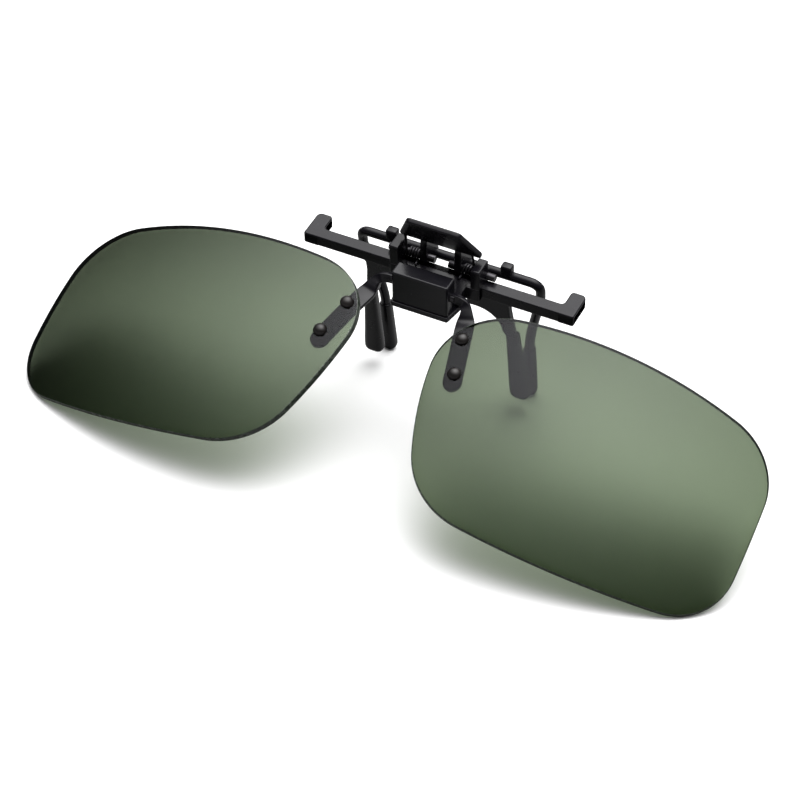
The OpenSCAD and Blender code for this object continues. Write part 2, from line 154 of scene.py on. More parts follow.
def catmull(points, steps):
    """A smooth path through points of any dimension, steps to each stretch."""
    out = []
    n = len(points)
    for i in range(n - 1):
        p0, p1, p2, p3 = (points[max(i - 1, 0)], points[i], points[i + 1],
                          points[min(i + 2, n - 1)])
        for s in range(steps):
            t = s / steps
            out.append([0.5 * (2 * b + (c - a) * t + (2 * a - 5 * b + 4 * c - d) * t * t
                               + (3 * b - a - 3 * c + d) * t ** 3)
                        for a, b, c, d in zip(p0, p1, p2, p3)])
    out.append(list(points[-1]))
    return out


def fillet(corners, steps=4):
    """A closed outline from corners (x, y, radius), each rounded by its radius."""
    pts = []
    n = len(corners)
    for i, (x, y, r) in enumerate(corners):
        p = Vector((x, y))
        a = (Vector(corners[i - 1][:2]) - p)
        b = (Vector(corners[(i + 1) % n][:2]) - p)
        if r <= 0:
            pts.append((x, y))
            continue
        a.normalize()
        b.normalize()
        half = math.acos(max(-1.0, min(1.0, a.dot(b)))) / 2
        reach = r / math.tan(half)
        centre = p + (a + b).normalized() * (r / math.sin(half))
        start, end = p + a * reach - centre, p + b * reach - centre
        turn = start.angle_signed(end)
        for k in range(steps + 1):
            q = start.copy()
            q.rotate(Matrix.Rotation(-turn * k / steps, 2))
            pts.append(tuple(centre + q))
    return pts


def inset(outline, by):
    """The outline moved inwards by a distance, corner by corner. Anticlockwise outline."""
    n = len(outline)
    out = []
    for i, (x, y) in enumerate(outline):
        a = Vector((x, y)) - Vector(outline[i - 1])
        b = Vector(outline[(i + 1) % n]) - Vector((x, y))
        na, nb = Vector((-a.y, a.x)).normalized(), Vector((-b.y, b.x)).normalized()
        m = (na + nb).normalized()
        out.append(tuple(Vector((x, y)) + m * (by / max(m.dot(na), 0.5))))
    return out


def prism_rings(outline, lo, hi, soft, to3d, steps=3):
    """Rings of a prism whose two rims are rounded by soft."""
    rings = []
    for k in range(steps + 1):
        a = math.pi / 2 * k / steps
        flat = inset(outline, soft * (1 - math.sin(a)))
        rings.append([to3d(x, y, lo + soft * (1 - math.cos(a))) for x, y in flat])
    for k in range(steps + 1):
        a = math.pi / 2 * k / steps
        flat = inset(outline, soft * (1 - math.cos(a)))
        rings.append([to3d(x, y, hi - soft * (1 - math.sin(a))) for x, y in flat])
    return rings


class Solids:
    """Several closed tubes and prisms gathered into one mesh."""

    def __init__(self):
        self.verts, self.faces = [], []

    def add(self, rings, place=None):
        start, size = len(self.verts), len(rings[0])
        for ring in rings:
            self.verts += [place @ Vector(p) if place else Vector(p) for p in ring]
        self.faces += [tuple(start + i for i in f) for f in ring_faces(len(rings), size)]

    def both(self, rings, place=None):
        self.add(rings, place)
        flip = Matrix.Scale(-1, 4, (1, 0, 0))
        self.add(rings, flip @ place if place else flip)

    def piece(self, name, place, side=1):
        obj = make_object(name, self.verts, self.faces, place, side)
        weighted(obj)
        return obj


def weighted(obj):
    m = obj.modifiers.new("normals", "WEIGHTED_NORMAL")
    m.weight = 80
    m.keep_sharp = True


def split_sharp_edges(obj, angle=40):
    """Smooth shading that keeps the crisp turns."""
    m = obj.modifiers.new("crisp", "EDGE_SPLIT")
    m.split_angle = math.radians(angle)


def across(x, y, z):
    """Prism axes with the outline in plan and its height along Z."""
    return (x, y, z)


def upright(y, z, x):
    """Prism axes with the outline seen from the side and its width along X."""
    return (x, y, z)


def weld(obj):
    """Joins the points that a CAD node's facets share."""
    m = obj.modifiers.new("weld", "WELD")
    m.merge_threshold = 1e-6


def bevel(obj, width_mm):
    """Soft edges on a CAD node."""
    weld(obj)
    m = obj.modifiers.new("edges", "BEVEL")
    m.width = width_mm * MM
    m.segments = 3
    m.limit_method = "ANGLE"
    m.angle_limit = math.radians(30)
    m.harden_normals = True
    m.miter_outer = "MITER_ARC"


def finish_piece(obj, body, slot, material, *nodes):
    obj.data.materials.clear()
    obj.data.materials.append(material)
    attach(obj, body)
    if nodes:
        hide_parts(*nodes)
    return obj


# ---------------------------------------------------------------- materials

def new_material(name):
    m = bpy.data.materials.new(name)
    m.use_nodes = True
    nt = m.node_tree
    nt.nodes.clear()
    out = nt.nodes.new("ShaderNodeOutputMaterial")
    return m, nt, out


def add(nt, kind, **values):
    n = nt.nodes.new(kind)
    for k, v in values.items():
        if hasattr(n, k):
            setattr(n, k, v)
        else:
            n.inputs[k.replace("_", " ")].default_value = v
    return n


def object_coords(nt):
    return nt.nodes.new("ShaderNodeTexCoord").outputs["Object"]


def noise(nt, coords, scale, detail=4.0, rough=0.55, stretch=None):
    if stretch:
        m = add(nt, "ShaderNodeMapping")
        m.inputs["Scale"].default_value = stretch
        nt.links.new(coords, m.inputs["Vector"])
        coords = m.outputs["Vector"]
    n = add(nt, "ShaderNodeTexNoise", Scale=scale, Detail=detail, Roughness=rough)
    nt.links.new(coords, n.inputs["Vector"])
    return n.outputs["Fac"]


def remap(nt, value, lo, hi, to_lo, to_hi, clamp=True):
    n = add(nt, "ShaderNodeMapRange")
    n.clamp = clamp
    for key, v in (("From Min", lo), ("From Max", hi), ("To Min", to_lo), ("To Max", to_hi)):
        n.inputs[key].default_value = v
    nt.links.new(value, n.inputs["Value"])
    return n.outputs["Result"]


def ramp(nt, value, *stops):
    n = nt.nodes.new("ShaderNodeValToRGB")
    e = n.color_ramp.elements
    while len(e) > 1:
        e.remove(e[0])
    e[0].position, e[0].color = stops[0][0], (*stops[0][1], 1)
    for pos, colour in stops[1:]:
        s = e.new(pos)
        s.color = (*colour, 1)
    nt.links.new(value, n.inputs["Fac"])
    return n.outputs["Color"]


def bump(nt, height, strength, distance_mm, normal=None):
    b = add(nt, "ShaderNodeBump", Strength=strength, Distance=distance_mm * MM)
    nt.links.new(height, b.inputs["Height"])
    if normal is not None:
        nt.links.new(normal, b.inputs["Normal"])
    return b.outputs["Normal"]


def metal_or_plastic(name, dark, light, rough, rough_spread, metallic=0.0, grain=2600.0,
                     grain_depth=0.012, grain_strength=0.35, brushed=None, specular=0.5,
                     sheen=0.0):
    """A finish whose colour, gloss and fine relief all vary over the surface."""
    m, nt, out = new_material(name)
    c = object_coords(nt)
    p = nt.nodes.new("ShaderNodeBsdfPrincipled")
    p.inputs["Metallic"].default_value = metallic
    p.inputs["Specular IOR Level"].default_value = specular
    p.inputs["Sheen Weight"].default_value = sheen
    p.inputs["Sheen Roughness"].default_value = 0.5
    cloud = noise(nt, c, 170.0, 5.0, 0.6)
    nt.links.new(ramp(nt, cloud, (0.32, dark), (0.68, light)), p.inputs["Base Color"])
    fine = noise(nt, c, grain, 3.0, 0.6, brushed)
    smudge = noise(nt, c, 420.0, 4.0, 0.6)
    r1 = remap(nt, smudge, 0.3, 0.7, rough - rough_spread, rough + rough_spread)
    jitter = remap(nt, fine, 0.3, 0.7, -rough_spread * 0.4, rough_spread * 0.4)
    total = add(nt, "ShaderNodeMath", operation="ADD", use_clamp=True)
    nt.links.new(r1, total.inputs[0])
    nt.links.new(jitter, total.inputs[1])
    nt.links.new(total.outputs[0], p.inputs["Roughness"])
    soft = bump(nt, smudge, 0.12, 0.02)
    nt.links.new(bump(nt, fine, grain_strength, grain_depth, soft), p.inputs["Normal"])
    nt.links.new(p.outputs[0], out.inputs["Surface"])
    return m


def lens_material():
    """A grey-green sheet: light passes each face with the root of the tint, and the gloss
    on top follows the angle. Tint and polish vary a little over the sheet."""
    m, nt, out = new_material("lens_tint")
    c = object_coords(nt)
    cloud = noise(nt, c, 22.0, 2.0, 0.5)
    tint = ramp(nt, cloud, (0.3, (0.388, 0.436, 0.354)), (0.7, (0.420, 0.475, 0.376)))
    # light that crosses the sheet at a slant has more tint to pass
    slant = add(nt, "ShaderNodeLayerWeight", Blend=0.5)
    straight = add(nt, "ShaderNodeMath", operation="SUBTRACT")
    straight.inputs[0].default_value = 1.0
    nt.links.new(slant.outputs["Facing"], straight.inputs[1])
    depth = add(nt, "ShaderNodeVectorMath", operation="SCALE")
    nt.links.new(tint, depth.inputs[0])
    nt.links.new(straight.outputs[0], depth.inputs["Scale"])
    through = nt.nodes.new("ShaderNodeBsdfTransparent")
    nt.links.new(depth.outputs[0], through.inputs["Color"])
    gloss = nt.nodes.new("ShaderNodeBsdfAnisotropic")
    gloss.inputs["Color"].default_value = (0.36, 0.36, 0.38, 1)
    smear = noise(nt, c, 60.0, 5.0, 0.65)
    nt.links.new(remap(nt, smear, 0.35, 0.75, 0.03, 0.11), gloss.inputs["Roughness"])
    fresnel = add(nt, "ShaderNodeFresnel", IOR=1.42)
    side = nt.nodes.new("ShaderNodeNewGeometry")
    outside = add(nt, "ShaderNodeMath", operation="SUBTRACT")
    outside.inputs[0].default_value = 1.0
    nt.links.new(side.outputs["Backfacing"], outside.inputs[1])
    share = add(nt, "ShaderNodeMath", operation="MULTIPLY")
    nt.links.new(fresnel.outputs[0], share.inputs[0])
    nt.links.new(outside.outputs[0], share.inputs[1])
    mix = nt.nodes.new("ShaderNodeMixShader")
    nt.links.new(share.outputs[0], mix.inputs[0])
    nt.links.new(through.outputs[0], mix.inputs[1])
    nt.links.new(gloss.outputs[0], mix.inputs[2])
    nt.links.new(mix.outputs[0], out.inputs["Surface"])
    return m


def lens_edge_material():
    """The ground and polished rim, which looks into the depth of the tinted sheet. Its dark tint
    is the sheet's own, lifted a little as painted light that stands in for the floor light that
    does not reach the rim.
    """
    m, nt, out = new_material("lens_rim")
    c = object_coords(nt)
    p = nt.nodes.new("ShaderNodeBsdfPrincipled")
    mottle = noise(nt, c, 900.0, 3.0, 0.6)
    # dark tinted rim colour, lifted a little as painted light from the floor below; the mottle
    # between the two stops is random
    nt.links.new(ramp(nt, mottle, (0.3, (0.018, 0.024, 0.017)), (0.7, (0.042, 0.054, 0.040))),
                 p.inputs["Base Color"])
    nt.links.new(remap(nt, mottle, 0.3, 0.7, 0.16, 0.34), p.inputs["Roughness"])
    nt.links.new(bump(nt, noise(nt, c, 4200.0), 0.15, 0.006), p.inputs["Normal"])
    nt.links.new(p.outputs[0], out.inputs["Surface"])
    return m


black_metal = metal_or_plastic("black_metal", (0.0045, 0.0040, 0.0060), (0.0085, 0.0077, 0.0110),
                               0.24, 0.04, metallic=0.0, specular=0.27, grain=3200.0,
                               grain_depth=0.006)
box_plastic = metal_or_plastic("box_plastic", (0.0060, 0.0056, 0.0078), (0.0110, 0.0104, 0.0140),
                               0.22, 0.04, specular=0.38, grain=2400.0, grain_depth=0.008)
sleeve_rubber = metal_or_plastic("sleeve_rubber", (0.005, 0.005, 0.006), (0.010, 0.0095, 0.012),
                                 0.24, 0.04, specular=0.3, grain=1500.0, grain_depth=0.008,
                                 grain_strength=0.25, sheen=0.02)
dark_steel = metal_or_plastic("dark_steel", (0.035, 0.034, 0.037), (0.075, 0.072, 0.078),
                              0.34, 0.08, metallic=1.0, grain=2200.0, grain_depth=0.006,
                              brushed=(0.08, 1.0, 1.0))
rivet_metal = metal_or_plastic("rivet_metal", (0.010, 0.009, 0.009), (0.022, 0.019, 0.018),
                               0.30, 0.05, metallic=0.2, specular=0.5, grain=3600.0,
                               grain_depth=0.008)
lens_tint = lens_material()
lens_rim = lens_edge_material()


# ---------------------------------------------------------------- lenses

def arc(c, r, a0, a1, n):
    return [(c[0] + r * math.cos(a0 + (a1 - a0) * i / n),
             c[1] + r * math.sin(a0 + (a1 - a0) * i / n)) for i in range(n)]


def edge_centre(p, q, r):
    """Centre of the arc of radius r that touches corner circles p and q from outside."""
    a, b = r - p[2], r - q[2]
    dx, dy = q[0] - p[0], q[1] - p[1]
    l = math.hypot(dx, dy)
    t = (a * a - b * b + l * l) / (2 * l)
    h = math.sqrt(a * a - t * t)
    return (p[0] + dx / l * t - dy / l * h, p[1] + dy / l * t + dx / l * h)


def lens_outline(steps):
    hw, hh = LENS_W / 2, LENS_H / 2
    c = [(hw - OUTER_TOP[0] - OUTER_TOP[2], hh - OUTER_TOP[1] - OUTER_TOP[2], OUTER_TOP[2]),
         (-hw + INNER_TOP[0] + INNER_TOP[2], hh - INNER_TOP[1] - INNER_TOP[2], INNER_TOP[2]),
         (-hw + INNER_BOTTOM[0] + INNER_BOTTOM[2], -hh + INNER_BOTTOM[1] + INNER_BOTTOM[2],
          INNER_BOTTOM[2]),
         (hw - OUTER_BOTTOM[0] - OUTER_BOTTOM[2], -hh + OUTER_BOTTOM[1] + OUTER_BOTTOM[2],
          OUTER_BOTTOM[2])]
    o = [edge_centre(c[i], c[(i + 1) % 4], EDGE_RADII[i]) for i in range(4)]

    def heading(a, b):
        return math.atan2(b[1] - a[1], b[0] - a[0])

    def after(a, b):
        return b + 2 * math.pi if b < a else b

    pts = []
    for i in range(4):
        j, k = (i + 1) % 4, (i + 3) % 4
        a0 = heading(o[k], c[i])
        a1 = after(a0, heading(o[i], c[i]))
        b1 = after(a1, heading(o[i], c[j]))
        pts += arc(c[i], c[i][2], a0, a1, steps) + arc(o[i], EDGE_RADII[i], a1, b1, steps)
    return pts


def lens_point(p, depth):
    """The point under p on the sphere that lies depth behind the front surface."""
    r = LENS_R - depth
    return (p[0], LENS_R - math.sqrt(r * r - p[0] ** 2 - p[1] ** 2), p[1])


def make_lens(side_name, side):
    outline = lens_outline(26)
    n = len(outline)
    inward = []
    for i in range(n):
        ax, ay = outline[i - 1]
        bx, by = outline[(i + 1) % n]
        l = math.hypot(bx - ax, by - ay)
        inward.append((-(by - ay) / l, (bx - ax) / l))
    # inset and depth of each ring round the rim, from the front face to the back one
    turns = [math.pi / 2 * k / 3 for k in range(4)]
    profile = ([(RIM_R * (1 - math.sin(a)), RIM_R * (1 - math.cos(a))) for a in turns]
               + [(RIM_R * (1 - math.cos(a)), LENS_T - RIM_R * (1 - math.sin(a)))
                  for a in turns])
    verts, faces = [], []

    def add_ring(points):
        start = len(verts)
        verts.extend(points)
        return start

    def join(a, b):
        for i in range(n):
            k = (i + 1) % n
            faces.append((a + i, a + k, b + k, b + i))

    def inset_ring(inset, depth):
        return add_ring([lens_point((p[0] + q[0] * inset, p[1] + q[1] * inset), depth)
                         for p, q in zip(outline, inward)])

    shares = [1 - k / DISC_RINGS for k in range(1, DISC_RINGS)]

    def disc(start, inset, depth):
        base = [(p[0] + q[0] * inset, p[1] + q[1] * inset) for p, q in zip(outline, inward)]
        last = start
        for s in shares:
            ring = add_ring([lens_point((x * s, y * s), depth) for x, y in base])
            join(last, ring)
            last = ring
        tip = add_ring([lens_point((0.0, 0.0), depth)])
        for i in range(n):
            faces.append((last + i, last + (i + 1) % n, tip))

    rings = [inset_ring(i, d) for i, d in profile]
    disc(rings[0], profile[0][0], profile[0][1])
    first_rim = len(faces)
    for a, b in zip(rings, rings[1:]):
        join(a, b)
    last_rim = len(faces)
    disc(rings[-1], profile[-1][0], profile[-1][1])
    moved = []
    for x, y, z in verts:
        # the outline is centred on OUTLINE_MID; its depth is worked out there
        px, pz = x + OUTLINE_MID[0], z + OUTLINE_MID[1]
        r = math.sqrt((LENS_R - y) ** 2 + x * x + z * z)
        moved.append((px, LENS_R - math.sqrt(r * r - px * px - pz * pz), pz))
    obj = make_object(f"lens_{side_name}_sheet", moved, faces, LENS, side)
    finish_piece(obj, "lens_unit", "lens_tint", lens_tint, f"lens_{side_name}")
    obj.data.materials.append(lens_rim)
    for i in range(first_rim, last_rim):
        obj.data.polygons[i].material_index = 1
    return obj


for side_name, side in SIDES:
    make_lens(side_name, side)


# ---------------------------------------------------------------- arms and brackets

def strip_point(v):
    """Middle of the bracket strip, v above the middle of its rivets, in the lens's frame."""
    p = (RIVET_MID[0] - v * math.sin(STRIP_SLANT), RIVET_MID[1] + v * math.cos(STRIP_SLANT))
    r = STRIP_R - BRACKET_T / 2
    return Vector((p[0], LENS_R - math.sqrt(r * r - p[0] ** 2 - p[1] ** 2), p[1]))


def make_arm(side_name, side):
    to_unit = shift(LENS_PITCH / 2, 0, 0) @ Matrix.Rotation(WRAP, 4, "Z")
    top = to_unit @ strip_point(STRIP_UP)
    near = to_unit @ strip_point(STRIP_UP - 1.6)
    # x, y, z, width across the face, thickness
    stations = [(ARM_X - 0.9, 0.8, 26.6, 1.5, 0.95), (ARM_X, 0.8, 26.6, 1.6, 0.95),
                (6.9, 0.8, 26.5, 1.65, 0.95), (7.75, 0.9, 26.15, 1.7, 0.92),
                (8.4, 1.1, 25.45, 1.8, 0.9), (8.8, 1.35, 24.5, 2.3, 0.85),
                (top.x, top.y, top.z, 3.0, BRACKET_T),
                (near.x, near.y, near.z, BRACKET_W, BRACKET_T)]
    path = catmull(stations, 5)
    # along the strip, then its round end
    v = STRIP_UP - 1.6
    steps = 10
    for i in range(1, steps + 1):
        w = v + (-STRIP_DOWN - v) * i / steps
        p = to_unit @ strip_point(w)
        path.append([p.x, p.y, p.z, BRACKET_W, BRACKET_T])
    for i in range(1, 9):
        a = math.pi / 2 * i / 8
        p = to_unit @ strip_point(-STRIP_DOWN - BRACKET_W / 2 * math.sin(a))
        path.append([p.x, p.y, p.z, max(BRACKET_W * math.cos(a), 0.25), BRACKET_T])
    centre = to_unit @ Vector((0, LENS_R, 0))
    count = len(path)
    rings = []
    for i, (x, y, z, w, t) in enumerate(path):
        here = Vector((x, y, z))
        a = Vector(path[max(i - 1, 0)][:3])
        b = Vector(path[min(i + 1, count - 1)][:3])
        run = (b - a).normalized()
        on_strip = min(max((26.0 - z) / 3.0, 0.0), 1.0)
        # beside the box the flat of the arm faces forward; it twists on its way down
        twist = min(max((z - 25.2) / 1.2, 0.0), 1.0)
        flat = Vector((0, -1, 0)).lerp(Vector((0, -0.56, -0.83)), twist)
        normal = flat.lerp((here - centre).normalized(), on_strip).normalized()
        across = run.cross(normal).normalized()
        normal = across.cross(run).normalized()
        rings.append(section(here, across, normal, w, t, 0.16, 4))
    obj = loft(f"bridge_arm_{side_name}_formed", rings, LENS_UNIT, side)
    split_sharp_edges(obj)
    return finish_piece(obj, "lens_unit", "black_metal", black_metal,
                        f"bridge_arm_{side_name}")


for side_name, side in SIDES:
    make_arm(side_name, side)


# ---------------------------------------------------------------- rivets

def on_lens(p):
    rise = -math.asin(p[1] / LENS_R)
    turn = math.asin(p[0] / (LENS_R * math.cos(rise)))
    return (shift(0, LENS_R, 0) @ Matrix.Rotation(turn, 4, "Z")
            @ Matrix.Rotation(rise, 4, "X") @ shift(0, -LENS_R, 0))


def revolve(profile, count=36):
    """Rings of (radius, y) turned about the Y axis, closed at both ends."""
    rings = []
    for r, y in profile:
        rings.append([(r * math.cos(2 * math.pi * i / count), y,
                       r * math.sin(2 * math.pi * i / count)) for i in range(count)])
    return rings


def rivet_profile():
    pts = [(0.02, -RIVET_HEAD_H), (0.30, -RIVET_HEAD_H + 0.03), (0.55, -RIVET_HEAD_H + 0.11),
           (0.78, -RIVET_HEAD_H + 0.24), (0.97, -RIVET_HEAD_H + 0.42), (1.10, -0.38),
           (1.17, -0.22), (1.195, -0.10), (1.17, -0.02), (1.10, 0.0), (RIVET_D / 2, 0.002)]
    shank = LENS_T + STRIP_GAP + BRACKET_T + COLLAR_GAP + COLLAR_T
    return pts + [(RIVET_D / 2, shank - 0.08), (RIVET_D / 2 - 0.08, shank), (0.02, shank)]


def make_rivets():
    verts, faces = [], []
    for side in (-1, 1):
        for s in (-1, 1):
            p = (RIVET_MID[0] - s * RIVET_PITCH / 2 * math.sin(STRIP_SLANT),
                 RIVET_MID[1] + s * RIVET_PITCH / 2 * math.cos(STRIP_SLANT))
            rings = revolve(rivet_profile())
            place = LENS @ on_lens(p)
            start = len(verts)
            for ring in rings:
                for q in ring:
                    w = place @ Vector(q)
                    verts.append((w.x * side, w.y, w.z))
            faces += [tuple(start + i for i in f) for f in ring_faces(len(rings), len(rings[0]))]
    obj = make_object("rivets_domed", verts, faces, Matrix.Identity(4))
    split_sharp_edges(obj, 50)
    return finish_piece(obj, "lens_unit", "rivet_metal", rivet_metal, "rivets")


make_rivets()


# ---------------------------------------------------------------- rear rod

ROD_R = 0.85
ROD_AT = (4.7, -3.9)
# The right leg's middle line: out of the straight part, round the bend, down to the tip
ROD_LEG = [(14.2, 4.7, -3.9), (15.0, 4.7, -3.9), (15.75, 4.71, -3.98), (16.4, 4.8, -4.4),
           (16.78, 4.97, -5.05), (16.82, 5.2, -6.2), (16.55, 5.55, -8.7),
           (14.72, 7.0, -16.4), (14.2, 7.42, -19.3), (13.95, 7.75, -22.4),
           (13.8, 8.7, -32.6)]


# The square lugs on the straight part: inner end, width, depth, top
LUG_X, LUG_W, LUG_D, LUG_TOP = 9.8, 2.0, 1.6, -1.6


def tube_rings(path, radius, count=24):
    rings = []
    side_dir = Vector((0, 1, 0))
    for i, p in enumerate(path):
        a = Vector(path[max(i - 1, 0)])
        b = Vector(path[min(i + 1, len(path) - 1)])
        run = (b - a).normalized()
        u = run.cross(side_dir).normalized()
        v = run.cross(u).normalized()
        c = Vector(p)
        rings.append([c + (u * math.cos(2 * math.pi * k / count)
                           + v * math.sin(2 * math.pi * k / count)) * radius
                      for k in range(count)])
    return rings


def make_rear_rod():
    right = catmull(ROD_LEG, 4)
    whole = [(-x, y, z) for x, y, z in reversed(right)]
    half, steps = ROD_LEG[0][0], 12
    for i in range(1, steps):
        whole.append((half * (2 * i / steps - 1), *ROD_AT))
    whole += [tuple(p) for p in right]
    rings = tube_rings(whole, ROD_R)
    size = len(rings[0])
    verts = [p for r in rings for p in r]
    faces = ring_faces(len(rings), size)
    # height and how much narrower each ring of a lug is, up to its rounded top
    levels = ((ROD_AT[1] - 0.2, 0.0), (ROD_AT[1] + 1.1, 0.0), (LUG_TOP - 0.25, 0.0),
              (LUG_TOP - 0.08, 0.12), (LUG_TOP, 0.42))
    corner_points = 5
    for s in (-1, 1):
        start = len(verts)
        x = s * (LUG_X + LUG_W / 2)
        for z, shrink in levels:
            verts += section((x, ROD_AT[0], z), Vector((1, 0, 0)), Vector((0, 1, 0)),
                             LUG_W - shrink, LUG_D - shrink, 0.28, corner_points)
        faces += [tuple(start + i for i in f)
                  for f in ring_faces(len(levels), 4 * corner_points)]
    obj = make_object("rear_rod_bent", verts, faces, CLIP)
    split_sharp_edges(obj, 46)
    return finish_piece(obj, "rear_jaw", "black_metal", black_metal, "rear_rod")


make_rear_rod()


# ---------------------------------------------------------------- front jaw

BAR_W, BAR_FRONT, BAR_BACK, WAIST_BACK = 50.6, -0.65, 1.8, 0.7
BAR_TOP, BAR_BOTTOM, HOOK_DROP = -3.5, -5.6, 0.1
HOOK_BACK, HOOK_W = 5.25, 2.8
TOWER_IN, TOWER_OUT, TOWER_FRONT, TOWER_BACK, TOWER_TOP = 6.7, 8.4, -1.5, 2.3, 0.5
EAR_R = 1.4
BOX_W, BOX_FRONT, BOX_BACK, BOX_TOP, BOX_BOTTOM, BOX_WALL = 10.4, -7.15, -4.05, 0.33, -6.07, 0.6
CAVITY_W = 8.4
BLOCK = 6.0
WEB_T = 1.4
LEG_TOP = -4.9
LEG_LEAN = math.radians(8.2)
LEG_IN_CLIP = (shift(0, BAR_FRONT + WEB_T / 2, LEG_TOP) @ Matrix.Rotation(LEG_LEAN, 4, "X")
               @ shift(0, 0, -LEG_TOP))
LEG = CLIP @ LEG_IN_CLIP


def leg_outline():
    """Web and leg, X outward and Z up, anticlockwise."""
    bow = arc((7.2, -13.0), 4.6, math.pi / 2, 0, 12)
    foot = arc((14.1, -28.5), 1.1, math.pi, 2 * math.pi, 10)
    nook = arc((14.5, BAR_BOTTOM - 0.7), 1.0, math.pi, math.pi / 2, 7)
    root = BAR_BOTTOM + 0.5
    return ([(BLOCK - 0.5, root), (BLOCK - 0.5, -8.4)] + bow + [(11.8, -13.0), (12.9, -14.5)]
            + foot + [(15.2, -28.5), (14.3, -14.5), (14.0, -13.0), (13.5, -8.0)] + nook
            + [(14.5, BAR_BOTTOM + 0.3), (14.5, root)])


def make_front_jaw():
    jaw = Solids()
    x1, x0 = BAR_W / 2, BAR_W / 2 - HOOK_W
    right = [(x1, BAR_FRONT, 0.4), (x1, HOOK_BACK, 0.9), (x0, HOOK_BACK, 0.6),
             (x0, BAR_BACK, 0.7), (TOWER_IN + 0.2, BAR_BACK, 0.1),
             (TOWER_IN + 0.2, WAIST_BACK, 0.1)]
    plan = fillet(right + [(-x, y, r) for x, y, r in reversed(right)], 5)
    jaw.add(prism_rings(plan, BAR_BOTTOM, BAR_TOP, 0.28, across, 4))
    hook = fillet([(x1, BAR_FRONT, 0.4), (x1, HOOK_BACK, 0.9), (x0, HOOK_BACK, 0.6),
                   (x0, BAR_FRONT, 0.1)], 5)
    jaw.both(prism_rings(hook, BAR_BOTTOM - HOOK_DROP, BAR_TOP - 0.1, 0.25, across))
    block = fillet([(BLOCK, BAR_FRONT + 0.3, 0.1), (-BLOCK, BAR_FRONT + 0.3, 0.1),
                    (-BLOCK, BOX_BACK, 0.1), (BLOCK, BOX_BACK, 0.1)], 2)
    jaw.add(prism_rings(block, BOX_BOTTOM, BAR_TOP, 0.15, across))
    shoulder = fillet([(TOWER_OUT, TOWER_FRONT, 0.3), (TOWER_OUT, BAR_FRONT + 0.5, 0.1),
                       (BLOCK - 0.5, BAR_FRONT + 0.5, 0.1), (BLOCK - 0.5, TOWER_FRONT, 0.1)], 3)
    jaw.both(prism_rings(shoulder, BOX_BOTTOM, BAR_TOP, 0.2, across))
    low, mid, top = BOX_BOTTOM, JAW_AXIS[1] - EAR_R, TOWER_TOP
    rise = math.acos((TOWER_BACK - JAW_AXIS[0]) / EAR_R)
    side_view = fillet([(TOWER_FRONT, low, 0.2), (BAR_FRONT + 0.5, low, 0.2),
                        (BAR_FRONT + 0.5, mid, 0.3)], 3)
    side_view += arc(JAW_AXIS, EAR_R, -math.pi / 2, rise, 14)
    side_view += fillet([(TOWER_BACK, JAW_AXIS[1] + EAR_R * math.sin(rise), 0),
                         (TOWER_BACK, top, 0.3), (TOWER_FRONT, top, 0.35),
                         (TOWER_FRONT, low, 0)], 4)[:-1]
    jaw.both(prism_rings(side_view, TOWER_IN, TOWER_OUT, 0.2, upright))
    jaw.both(prism_rings(leg_outline(), -WEB_T / 2, WEB_T / 2, 0.3,
                         lambda x, z, y: (x, -y, z)), LEG_IN_CLIP)
    obj = jaw.piece("front_jaw_moulded", CLIP)
    return finish_piece(obj, "clip", "black_metal", black_metal, "front_jaw")


def make_box():
    """A shell with soft top edges, open below, and its base plate with a plug."""
    soft, lip, w = 0.34, 0.06, BOX_W / 2
    plan = fillet([(w, BOX_FRONT, 0.45), (w, BOX_BACK, 0.2), (-w, BOX_BACK, 0.2),
                   (-w, BOX_FRONT, 0.45)], 5)
    c = CAVITY_W / 2
    bay = fillet([(c, BOX_FRONT + BOX_WALL, 0.2), (c, BOX_BACK - BOX_WALL, 0.2),
                  (-c, BOX_BACK - BOX_WALL, 0.2), (-c, BOX_FRONT + BOX_WALL, 0.2)], 5)
    rings = [[(x, y, BOX_TOP - BOX_WALL) for x, y in bay], [(x, y, BOX_BOTTOM) for x, y in bay],
             [(x, y, BOX_BOTTOM) for x, y in inset(plan, lip)],
             [(x, y, BOX_BOTTOM + lip) for x, y in plan]]
    for k in range(6):
        a = math.pi / 2 * k / 5
        rings.append([(x, y, BOX_TOP - soft * (1 - math.sin(a)))
                      for x, y in inset(plan, soft * (1 - math.cos(a)))])
    shell = Solids()
    shell.add(rings)
    finish_piece(shell.piece("hinge_box_shell", CLIP), "clip", "box_plastic", box_plastic,
                 "hinge_box")
    plate = Solids()
    front, back = BOX_FRONT - 0.35, -2.5
    plan = fillet([(w + 0.1, front, 0.35), (w + 1.05, back, 0.35), (-w - 1.05, back, 0.35),
                   (-w - 0.1, front, 0.35)], 5)
    plate.add(prism_rings(plan, BOX_BOTTOM - 1.0, BOX_BOTTOM, 0.22, across))
    plug = fillet([(c - 0.1, BOX_FRONT + BOX_WALL + 0.1, 0.2),
                   (c - 0.1, BOX_BACK - BOX_WALL - 0.1, 0.2),
                   (0.1 - c, BOX_BACK - BOX_WALL - 0.1, 0.2),
                   (0.1 - c, BOX_FRONT + BOX_WALL + 0.1, 0.2)], 2)
    plate.add(prism_rings(plug, BOX_BOTTOM - 0.2, BOX_BOTTOM + 0.5, 0.08, across))
    finish_piece(plate.piece("box_base_plate", CLIP), "clip", "box_plastic", box_plastic,
                 "box_base")


make_front_jaw()
make_box()


# ---------------------------------------------------------------- thumb lever

PLATE_L, PLATE_T, PLATE_FOOT_W, PLATE_TOP_W = 7.2, 1.0, 15.0, 9.8
PLATE_SIDE, PLATE_LEAN = 0.8, math.radians(27.9)
PLATE_FOOT = (1.6, 1.5)
CHEEK_IN, CHEEK_W, KNUCKLE_R = 2.6, 1.2, 1.1


